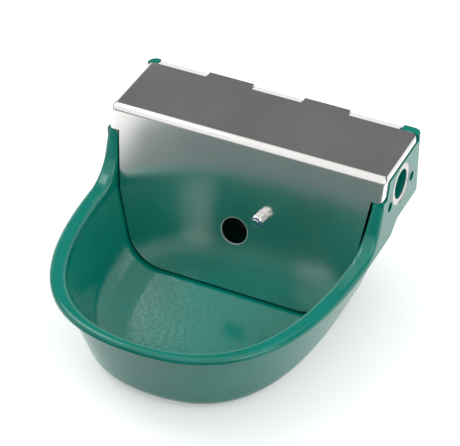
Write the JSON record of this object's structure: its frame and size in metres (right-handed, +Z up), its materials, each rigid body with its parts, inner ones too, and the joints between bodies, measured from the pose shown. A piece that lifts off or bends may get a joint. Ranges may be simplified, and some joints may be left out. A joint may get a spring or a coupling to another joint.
{
  "type": "livestock drinking bowl",
  "caption": "Wall-mounted cast-iron drinking bowl for cattle with a float valve in a chamber behind a bent stainless cover and partition.",
  "frame": {"origin": "on the wall face, midway between the two wall bolt holes", "axes": "+X to the right seen from the front, +Y into the wall, +Z up"},
  "size_m": [0.2664, 0.2955, 0.149],
  "materials": {
    "enamel": "gloss green enamel with fine orange-peel ripple",
    "stainless_sheet": "cold-rolled, lightly brushed",
    "zinc_steel": "bright zinc plate",
    "stainless_parts": "turned and drawn stainless",
    "blue_nylon": "moulded nylon",
    "brass": "machined brass",
    "rubber": "moulded rubber",
    "dark_plastic": "blow-moulded dark grey plastic",
    "white_plastic": "moulded acetal"
  },
  "bodies": {
    "casting": {"bowl_casting": "enamel", "valve_body": "brass", "valve_gasket": "rubber", "valve_screws": "stainless_parts", "valve_screw_nuts": "zinc_steel", "valve_nozzle": "white_plastic", "nozzle_ring": "rubber", "lever_pin": "stainless_parts", "lever_pin_clips": "stainless_parts"},
    "cover": {"cover": "stainless_sheet", "cover_bolt": "zinc_steel", "cover_washer": "zinc_steel", "cover_plain_nut": "zinc_steel"},
    "lock_nut": {"cover_lock_nut": "zinc_steel", "lock_nut_ring": "blue_nylon"},
    "float": {"float_lever": "brass", "float_rod": "stainless_parts", "rod_nuts": "stainless_parts", "float_upper_shell": "dark_plastic", "float_lower_shell": "dark_plastic", "adjusting_screw": "brass", "adjusting_nut": "brass"},
    "piston": {"valve_piston": "white_plastic", "piston_seal": "rubber"}
  },
  "joints": [
    {"name": "cover_lift", "type": "slide", "parent": "casting", "child": "cover", "axis": [0, 0, 1], "range_m": [0, 0.15]},
    {"name": "lock_nut_turn", "type": "hinge", "parent": "cover", "child": "lock_nut", "pos_m": [0.0238, -0.09749, -0.033], "axis": [0, -0.9681, 0.2504], "continuous": true},
    {"name": "float_swing", "type": "hinge", "parent": "casting", "child": "float", "pos_m": [-0.0765, -0.047, -0.0112], "axis": [0, -1, 0], "range_deg": [0, 11]},
    {"name": "piston_slide", "type": "slide", "parent": "casting", "child": "piston", "axis": [-1, 0, 0], "range_m": [0, 0.0028]}
  ],
  "couplings": [
    {"joint": "piston_slide", "follows": "float_swing", "m_per_rad": 0.0145}
  ]
}
